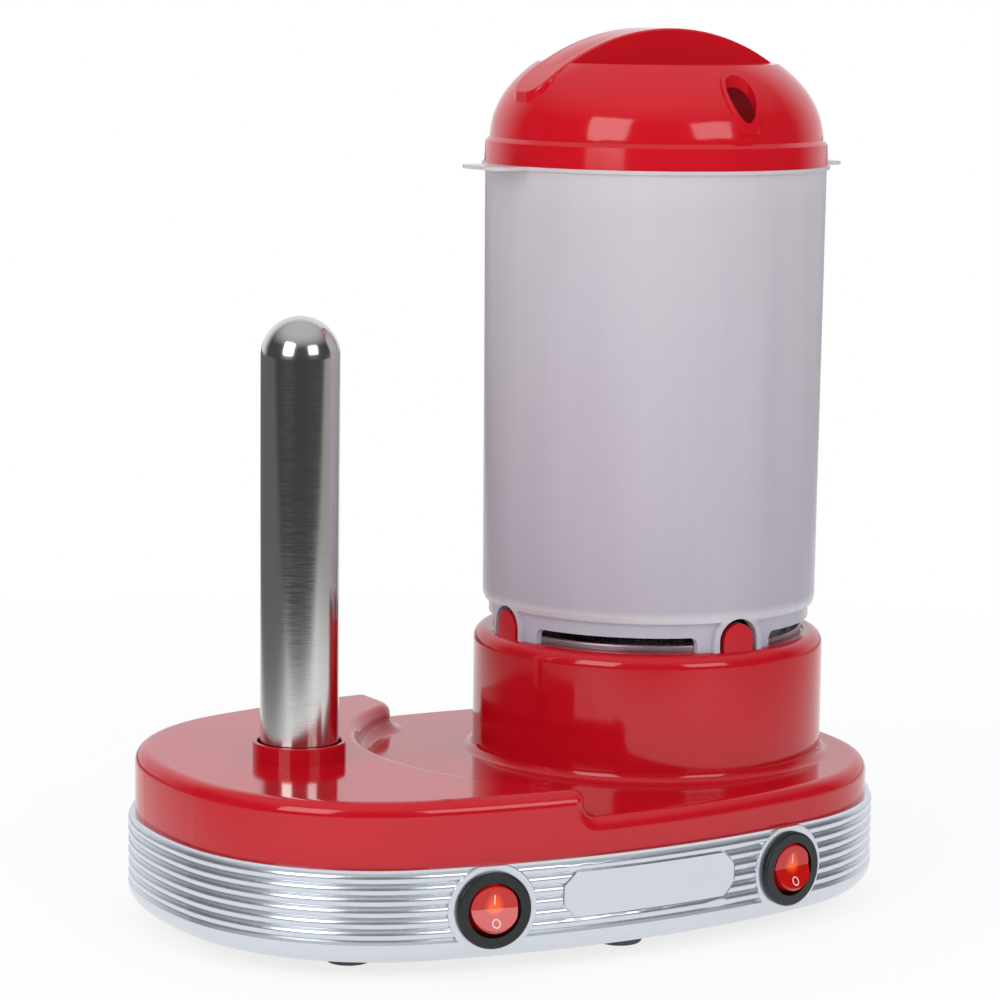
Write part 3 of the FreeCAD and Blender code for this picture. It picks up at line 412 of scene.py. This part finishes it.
def turned_ring(name, profile, axis, material, segments=160):
    """Closed ring turned about a vertical axis from a closed (radius, height) profile."""
    corners = []
    for step in range(segments):
        turn = 2.0 * math.pi * step / segments
        corners += [(axis.x + r * math.cos(turn), axis.y + r * math.sin(turn), z) for r, z in profile]
    count = len(profile)
    faces = []
    for step in range(segments):
        here = step * count
        there = (step + 1) % segments * count
        for i in range(count):
            j = (i + 1) % count
            faces.append((here + i, there + i, there + j, here + j))
    piece = mesh_object(name, corners, faces, material)
    piece.data.shade_smooth()
    return piece


def mark_tree():
    """An I above and an O below the middle of a rocker, laid on the rocker's faces."""
    group = bpy.data.node_groups.new("rocker_marks", "GeometryNodeTree")
    for name, kind in (("Rocker", "Object"), ("Pivot", "Vector"), ("Along", "Vector"), ("Out", "Vector"),
                       ("Stroke", "Float"), ("Size", "Float"), ("Offset", "Float"), ("Ink", "Material")):
        group.interface.new_socket(name, in_out="INPUT", socket_type="NodeSocket" + kind)
    group.interface.new_socket("Marks", in_out="OUTPUT", socket_type="NodeSocketGeometry")
    given = add_node(group, "NodeGroupInput").outputs

    def scaled(value, factor):
        return add_node(group, "ShaderNodeMath", {"operation": "MULTIPLY", 1: factor}, {0: value}).outputs[0]

    def vector(operation, first, second):
        links = {0: first, "Scale" if operation == "SCALE" else 1: second}
        return add_node(group, "ShaderNodeVectorMath", {"operation": operation}, links)

    def up_panel(height):
        return add_node(group, "ShaderNodeCombineXYZ", None, {"Y": height}).outputs["Vector"]

    bar = add_node(group, "GeometryNodeCurvePrimitiveLine", None, {
        "Start": up_panel(scaled(given["Size"], -0.5)), "End": up_panel(scaled(given["Size"], 0.5))})
    bar = add_node(group, "GeometryNodeTransform", None,
                   {"Geometry": bar.outputs["Curve"], "Translation": up_panel(given["Offset"])})
    loop = add_node(group, "GeometryNodeCurvePrimitiveCircle", {"Resolution": 36},
                    {"Radius": scaled(given["Size"], 0.4)})
    loop = add_node(group, "GeometryNodeTransform", None,
                    {"Geometry": loop.outputs["Curve"],
                     "Translation": up_panel(scaled(given["Offset"], -1.0))})
    lines = add_node(group, "GeometryNodeJoinGeometry", None, {"Geometry": bar.outputs["Geometry"]})
    group.links.new(loop.outputs["Geometry"], lines.inputs["Geometry"])
    pen = add_node(group, "GeometryNodeCurvePrimitiveCircle", {"Resolution": 10},
                   {"Radius": scaled(given["Stroke"], 0.5)})
    body = add_node(group, "GeometryNodeCurveToMesh", {"Fill Caps": True},
                    {"Curve": lines.outputs["Geometry"], "Profile Curve": pen.outputs["Curve"]})
    turn = add_node(group, "FunctionNodeAxesToRotation", {"primary_axis": "Z", "secondary_axis": "X"},
                    {"Primary Axis": given["Out"], "Secondary Axis": given["Along"]})
    flat = add_node(group, "GeometryNodeTransform", {"Scale": (1.0, 1.0, INK_FLATNESS)},
                    {"Geometry": body.outputs["Mesh"]})
    stood = add_node(group, "GeometryNodeTransform", None,
                     {"Geometry": flat.outputs["Geometry"], "Translation": given["Pivot"],
                      "Rotation": turn.outputs["Rotation"]})
    place = add_node(group, "GeometryNodeInputPosition").outputs["Position"]
    depth = vector("DOT_PRODUCT", vector("SUBTRACT", place, given["Pivot"]).outputs[0], given["Out"])
    target = add_node(group, "GeometryNodeObjectInfo", None, {"Object": given["Rocker"]})
    above = vector("ADD", place, vector("SCALE", given["Out"], scaled(given["Size"], 8.0)).outputs[0])
    hit = add_node(group, "GeometryNodeRaycast", {"Ray Length": 0.1}, {
        "Target Geometry": target.outputs["Geometry"], "Source Position": above.outputs[0],
        "Ray Direction": vector("SCALE", given["Out"], scaled(given["Size"], -1.0 / MM)).outputs[0]})
    laid = vector("ADD", hit.outputs["Hit Position"],
                  vector("SCALE", given["Out"], depth.outputs["Value"]).outputs[0])
    marks = add_node(group, "GeometryNodeSetPosition", None,
                     {"Geometry": stood.outputs["Geometry"], "Position": laid.outputs[0],
                      "Selection": hit.outputs["Is Hit"]})
    real = add_node(group, "GeometryNodeRealizeInstances", None, {"Geometry": marks.outputs["Geometry"]})
    inked = add_node(group, "GeometryNodeSetMaterial", None,
                     {"Geometry": real.outputs["Geometry"], "Material": given["Ink"]})
    add_node(group, "NodeGroupOutput", None, {"Marks": inked.outputs["Geometry"]})
    return group


def grown(name, tree, inputs):
    """Plain mesh object from a Geometry Nodes tree and its named inputs."""
    seed = bpy.data.objects.new(name + "_seed", bpy.data.meshes.new(name + "_seed"))
    bpy.context.scene.collection.objects.link(seed)
    modifier = seed.modifiers.new("nodes", "NODES")
    modifier.node_group = tree
    for item in tree.interface.items_tree:
        if item.in_out == "INPUT":
            modifier[item.identifier] = inputs[item.name]
    evaluated = seed.evaluated_get(bpy.context.evaluated_depsgraph_get())
    mesh = bpy.data.meshes.new_from_object(evaluated)
    bpy.data.objects.remove(seed)
    if not mesh.polygons:
        raise RuntimeError(name + " came out empty")
    piece = bpy.data.objects.new(name, mesh)
    bpy.context.scene.collection.objects.link(piece)
    return piece


class TOASTER_OT_red_parts(bpy.types.Operator):
    """Finish the cover, the collar and the lid"""
    bl_idname = "toaster.red_parts"
    bl_label = "Cover, Collar and Lid"

    def execute(self, context):
        finish = finish_settings()
        thick = glossy_red_polypropylene(finish, "glossy_red_polypropylene", 0.0)
        give(thick, ["top_cover", "spike_collar"])
        # The lid gets a painted glow, an emission, for light through its thin wall
        thin = glossy_red_polypropylene(finish, "thin_red_polypropylene", finish.lid_painted_glow)
        give(thin, ["lid"])
        return {"FINISHED"}


class TOASTER_OT_skirt(bpy.types.Operator):
    """Finish the ribbed skirt"""
    bl_idname = "toaster.skirt"
    bl_label = "Skirt"

    def execute(self, context):
        give(silver_lacquered_abs(finish_settings()), ["base_skirt"])
        return {"FINISHED"}


class TOASTER_OT_container(bpy.types.Operator):
    """Finish the frosted container"""
    bl_idname = "toaster.container"
    bl_label = "Container"

    def execute(self, context):
        give(frosted_polypropylene(finish_settings()), ["container"])
        return {"FINISHED"}


class TOASTER_OT_metal_parts(bpy.types.Operator):
    """Finish the spike, the boiler dish and the metal inside"""
    bl_idname = "toaster.metal_parts"
    bl_label = "Metal Parts"

    def execute(self, context):
        finish = finish_settings()
        give(polished_stainless(finish), ["spike_tube", "spike_flange"])
        give(boiler_steel_with_painted_shade(finish), ["boiler_dish"])
        self.rolled_rim(finish)
        give(zinc_plated_steel(), [
            "base_screws", "spike_heater", "spike_clamp", "spike_clamp_screws", "heating_element",
            "thermal_fuse", "element_bracket", "heat_shield", "bracket_screws",
            "left_rocker_pivot", "right_rocker_pivot"])
        give(stamped_brass(), ["left_switch_terminals", "right_switch_terminals"])
        return {"FINISHED"}

    def rolled_rim(self, finish):
        """Flattened bead on the edge of the dish, which shows through the gap under the container."""
        low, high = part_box("boiler_dish")
        thick = finish.rim_bead * 0.3
        tall = finish.rim_bead * 0.5
        middle = (high.x - low.x) / 2.0 - 0.3 * MM - thick
        profile = []
        for step in range(24):
            turn = 2.0 * math.pi * step / 24
            away = math.copysign(abs(math.cos(turn)) ** 0.5, math.cos(turn))
            rise = math.copysign(abs(math.sin(turn)) ** 0.5, math.sin(turn))
            profile.append((middle + thick * away, high.z + tall * (0.96 + rise)))
        # The rim's mauve is a painted reflection of the container
        rim = turned_ring("boiler_rolled_rim", profile, (low + high) / 2.0, steel_with_painted_reflection())
        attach(rim, "base")


class TOASTER_OT_plain_parts(bpy.types.Operator):
    """Finish the plate, feet, gland and the insulating parts"""
    bl_idname = "toaster.plain_parts"
    bl_label = "Plate, Feet and Insulators"

    def execute(self, context):
        give(moulded_nylon("black_moulded_nylon", srgb("#1B1C1E"), 0.42, 0.58),
             ["base_plate", "cord_gland", "gland_nut", "thermostat"])
        give(moulded_nylon("grey_rubber", srgb("#6E7479"), 0.6, 0.8, 0.5, 0.02), ["rubber_feet"])
        give(moulded_nylon("silicone_rubber", srgb("#7E2A22"), 0.45, 0.6, 0.7, 0.01), ["boiler_seal"])
        give(moulded_nylon("white_moulded_nylon", srgb("#D8D6CE"), 0.4, 0.5), ["terminal_block"])
        give(moulded_nylon("steatite_ceramic", srgb("#DDD8CC"), 0.5, 0.7, 0.4, 0.02), ["heater_spacers"])
        return {"FINISHED"}


class TOASTER_OT_switches(bpy.types.Operator):
    """Finish the two lit rocker switches"""
    bl_idname = "toaster.switches"
    bl_label = "Switches"

    def execute(self, context):
        finish = finish_settings()
        housing = moulded_nylon("satin_black_nylon", srgb("#111317"), 0.28, 0.36, 0.5, 0.004)
        give(housing, ["left_switch_housing", "right_switch_housing"])
        give(lit_rocker_polycarbonate(finish), ["left_rocker", "right_rocker"])
        give(lamp_glass(), ["left_switch_lamp", "right_switch_lamp"])
        ink = printed_white(finish)
        tree = mark_tree()
        for side in SIDES:
            pivot, along, out = rocker_frame(side)
            marks = grown(side + "_rocker_marks", tree, {
                "Rocker": frame["nodes"][side + "_rocker"], "Pivot": pivot, "Along": along, "Out": out,
                "Stroke": finish.mark_stroke, "Size": finish.mark_size, "Offset": finish.mark_offset,
                "Ink": ink})
            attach(marks, side + "_rocker")
        return {"FINISHED"}


# Camera, floor and light

# Softboxes by azimuth and elevation in degrees, distance, size in metres and power in watts
SOFTBOXES = [
    ("left_softbox", -156.0, 22.0, 1.3, (0.62, 0.75), 5.5),
    ("right_softbox", -83.0, 21.0, 1.6, (0.75, 0.65), 5.0),
]
LIGHT_TARGET = Vector((0.05, 0.0, 0.15))

# Where the camera stands, what is right of it and what it looks along
CAMERA_PLACE = Vector((-0.55661, -0.95480, 0.28784))
CAMERA_RIGHT = Vector((0.8652, -0.5014, 0.0117))
CAMERA_AHEAD = Vector((0.4975, 0.8551, -0.1463))
CAMERA_LENS = 128.48
CAMERA_SHIFT = (-0.0064, 0.0098)

STUDIO_WHITE = (0.95, 0.965, 1.0, 1.0)
PURE_WHITE = (1.0, 1.0, 1.0, 1.0)
FLOOR_HALF = 6.0


def seen_directly(tree):
    """1 where a surface is seen by the camera, in a reflection or through a clear piece."""
    path = add_node(tree, "ShaderNodeLightPath")
    direct = add_node(tree, "ShaderNodeMath", {"operation": "MAXIMUM"},
                      {0: path.outputs["Is Camera Ray"], 1: path.outputs["Is Glossy Ray"]})
    through = add_node(tree, "ShaderNodeMath", {"operation": "MAXIMUM"},
                       {0: direct.outputs["Value"], 1: path.outputs["Is Transmission Ray"]})
    return through.outputs["Value"]


def ramp_along(tree, place, direction, ends, values):
    """A value that goes smoothly from one to the other between two distances in a direction."""
    way = add_node(tree, "ShaderNodeVectorMath", {"operation": "DOT_PRODUCT", 1: direction}, {0: place})
    ramp = add_node(tree, "ShaderNodeMapRange",
                    {"interpolation_type": "SMOOTHSTEP", "From Min": ends[0], "From Max": ends[1],
                     "To Min": values[0], "To Max": values[1]}, {"Value": way.outputs["Value"]})
    return ramp.outputs["Result"]


def area_light(name, place, target, size, power):
    data = bpy.data.lights.new(name, "AREA")
    data.shape = "RECTANGLE"
    data.size, data.size_y = size
    data.energy = power
    lamp = bpy.data.objects.new(name, data)
    bpy.context.scene.collection.objects.link(lamp)
    lamp.location = place
    lamp.rotation_euler = (Vector(target) - Vector(place)).to_track_quat("-Z", "Y").to_euler()
    return lamp


class TOASTER_OT_stage(bpy.types.Operator):
    """Set the camera, the pale floor and the soft studio lights"""
    bl_idname = "toaster.stage"
    bl_label = "Camera, Floor and Light"

    def execute(self, context):
        scene = context.scene
        scene.view_settings.view_transform = "Standard"
        self.camera(scene)
        self.floor(scene)
        self.world(scene)
        for name, azimuth, elevation, distance, size, power in SOFTBOXES:
            turn = math.radians(azimuth)
            rise = math.radians(elevation)
            away = Vector((math.cos(turn) * math.cos(rise), math.sin(turn) * math.cos(rise), math.sin(rise)))
            area_light(name, LIGHT_TARGET + away * distance, LIGHT_TARGET, size, power)
        return {"FINISHED"}

    def camera(self, scene):
        data = bpy.data.cameras.new("photo_camera")
        data.sensor_width = 36.0
        data.lens = CAMERA_LENS
        data.shift_x, data.shift_y = CAMERA_SHIFT
        data.clip_start = 0.05
        camera = bpy.data.objects.new("photo_camera", data)
        scene.collection.objects.link(camera)
        right = CAMERA_RIGHT.normalized()
        ahead = CAMERA_AHEAD.normalized()
        turned = Matrix((right, right.cross(ahead), -ahead)).transposed().to_4x4()
        camera.matrix_world = Matrix.Translation(CAMERA_PLACE) @ turned
        scene.camera = camera

    def floor(self, scene):
        material, tree, shader = new_material("pale_floor", Roughness=0.7)
        shader.inputs["Base Color"].default_value = rgba(srgb("#F6F6F7"))
        output = tree.nodes["Material Output"]
        white = add_node(tree, "ShaderNodeMapRange",
                         {"From Min": 0.2, "From Max": 0.6, "To Min": 0.8, "To Max": 1.0},
                         {"Value": distance_from(tree, (0.0, 0.0, 0.0))})
        place = add_node(tree, "ShaderNodeTexCoord").outputs["Object"]
        left = ramp_along(tree, place, (-0.865, 0.5, 0.0), (0.16, 0.45), (1.0, 0.15))
        right = ramp_along(tree, place, (0.865, -0.5, 0.0), (0.22, 0.6), (1.0, 0.4))
        front = ramp_along(tree, place, (-0.5, -0.86, 0.0), (0.34, 0.5), (1.0, 0.06))
        sides = add_node(tree, "ShaderNodeMath", {"operation": "MINIMUM"}, {0: left, 1: right})
        sheet = add_node(tree, "ShaderNodeMath", {"operation": "MINIMUM"},
                         {0: sides.outputs["Value"], 1: front})
        path = add_node(tree, "ShaderNodeLightPath")
        mirrored = add_node(tree, "ShaderNodeMix", {"data_type": "FLOAT", "A": 1.0},
                            {"Factor": path.outputs["Is Glossy Ray"], "B": sheet.outputs["Value"]})
        glow = add_node(tree, "ShaderNodeEmission", {"Color": PURE_WHITE},
                        {"Strength": mirrored.outputs["Result"]})
        seen = add_node(tree, "ShaderNodeMath", {"operation": "MULTIPLY"},
                        {0: white.outputs["Result"], 1: seen_directly(tree)})
        blend = add_node(tree, "ShaderNodeMixShader", None,
                         {0: seen.outputs["Value"], 1: shader.outputs["BSDF"], 2: glow.outputs["Emission"]})
        tree.links.new(blend.outputs["Shader"], output.inputs["Surface"])
        mesh = bpy.data.meshes.new("pale_floor")
        half = FLOOR_HALF
        corners = [(-half, -half, 0), (half, -half, 0), (half, half, 0), (-half, half, 0)]
        mesh.from_pydata(corners, [], [(0, 1, 2, 3)])
        mesh.materials.append(material)
        floor = bpy.data.objects.new("pale_floor", mesh)
        scene.collection.objects.link(floor)

    def world(self, scene):
        """White behind the object and overhead, dark in front where only mirror-like finishes see it."""
        world = bpy.data.worlds.new("studio_world")
        world.use_nodes = True
        tree = world.node_tree
        tree.nodes.clear()
        facing = add_node(tree, "ShaderNodeTexCoord").outputs["Generated"]

        def brighter(first, second):
            pick = add_node(tree, "ShaderNodeMath", {"operation": "MAXIMUM"}, {0: first, 1: second})
            return pick.outputs["Value"]

        def spread(high, share):
            """A light that only rough finishes see at its full strength."""
            return add_node(tree, "ShaderNodeMapRange", {"To Min": high * share, "To Max": high},
                            {"Value": path.outputs["Is Diffuse Ray"]}).outputs["Result"]

        path = add_node(tree, "ShaderNodeLightPath")
        direct = path.outputs["Is Camera Ray"]
        behind = ramp_along(tree, facing, (0.5, 0.86, 0.0), (0.2, 0.8), (0.0, 0.95))
        height = ramp_along(tree, facing, (0.0, 0.0, 1.0), (0.3, 0.95), (0.0, 1.0))
        overhead = add_node(tree, "ShaderNodeMath", {"operation": "MULTIPLY"},
                            {0: height, 1: spread(1.25, 0.5)}).outputs["Value"]
        light = brighter(brighter(behind, overhead), brighter(spread(0.5, 0.15), direct))
        tint = add_node(tree, "ShaderNodeMix", {"data_type": "RGBA"}, {"Factor": direct})
        tint.inputs[6].default_value = STUDIO_WHITE
        tint.inputs[7].default_value = PURE_WHITE
        surface = add_node(tree, "ShaderNodeBackground", None, {"Color": tint.outputs[2], "Strength": light})
        add_node(tree, "ShaderNodeOutputWorld", None, {"Surface": surface.outputs["Background"]})
        scene.world = world


class TOASTER_PT_panel(bpy.types.Panel):
    """Colours and pieces of the toaster"""
    bl_idname = "TOASTER_PT_panel"
    bl_label = "Hot Dog Toaster"
    bl_space_type = "VIEW_3D"
    bl_region_type = "UI"
    bl_category = "Toaster"

    def draw(self, context):
        finish = context.scene.toaster_finish
        for name in finish.__annotations__:
            self.layout.prop(finish, name)
        for operator in OPERATORS:
            self.layout.operator(operator.bl_idname)


OPERATORS = [TOASTER_OT_red_parts, TOASTER_OT_skirt, TOASTER_OT_container, TOASTER_OT_metal_parts,
             TOASTER_OT_plain_parts, TOASTER_OT_switches, TOASTER_OT_stage]
CLASSES = [ToasterFinish] + OPERATORS + [TOASTER_PT_panel]


def register():
    for cls in CLASSES:
        bpy.utils.register_class(cls)
    bpy.types.Scene.toaster_finish = PointerProperty(type=ToasterFinish)


def unregister():
    del bpy.types.Scene.toaster_finish
    for cls in reversed(CLASSES):
        bpy.utils.unregister_class(cls)


def main():
    register()
    bpy.ops.toaster.red_parts()
    bpy.ops.toaster.skirt()
    bpy.ops.toaster.container()
    bpy.ops.toaster.metal_parts()
    bpy.ops.toaster.plain_parts()
    bpy.ops.toaster.switches()
    bpy.ops.toaster.stage()


if __name__ == "__main__":
    main()
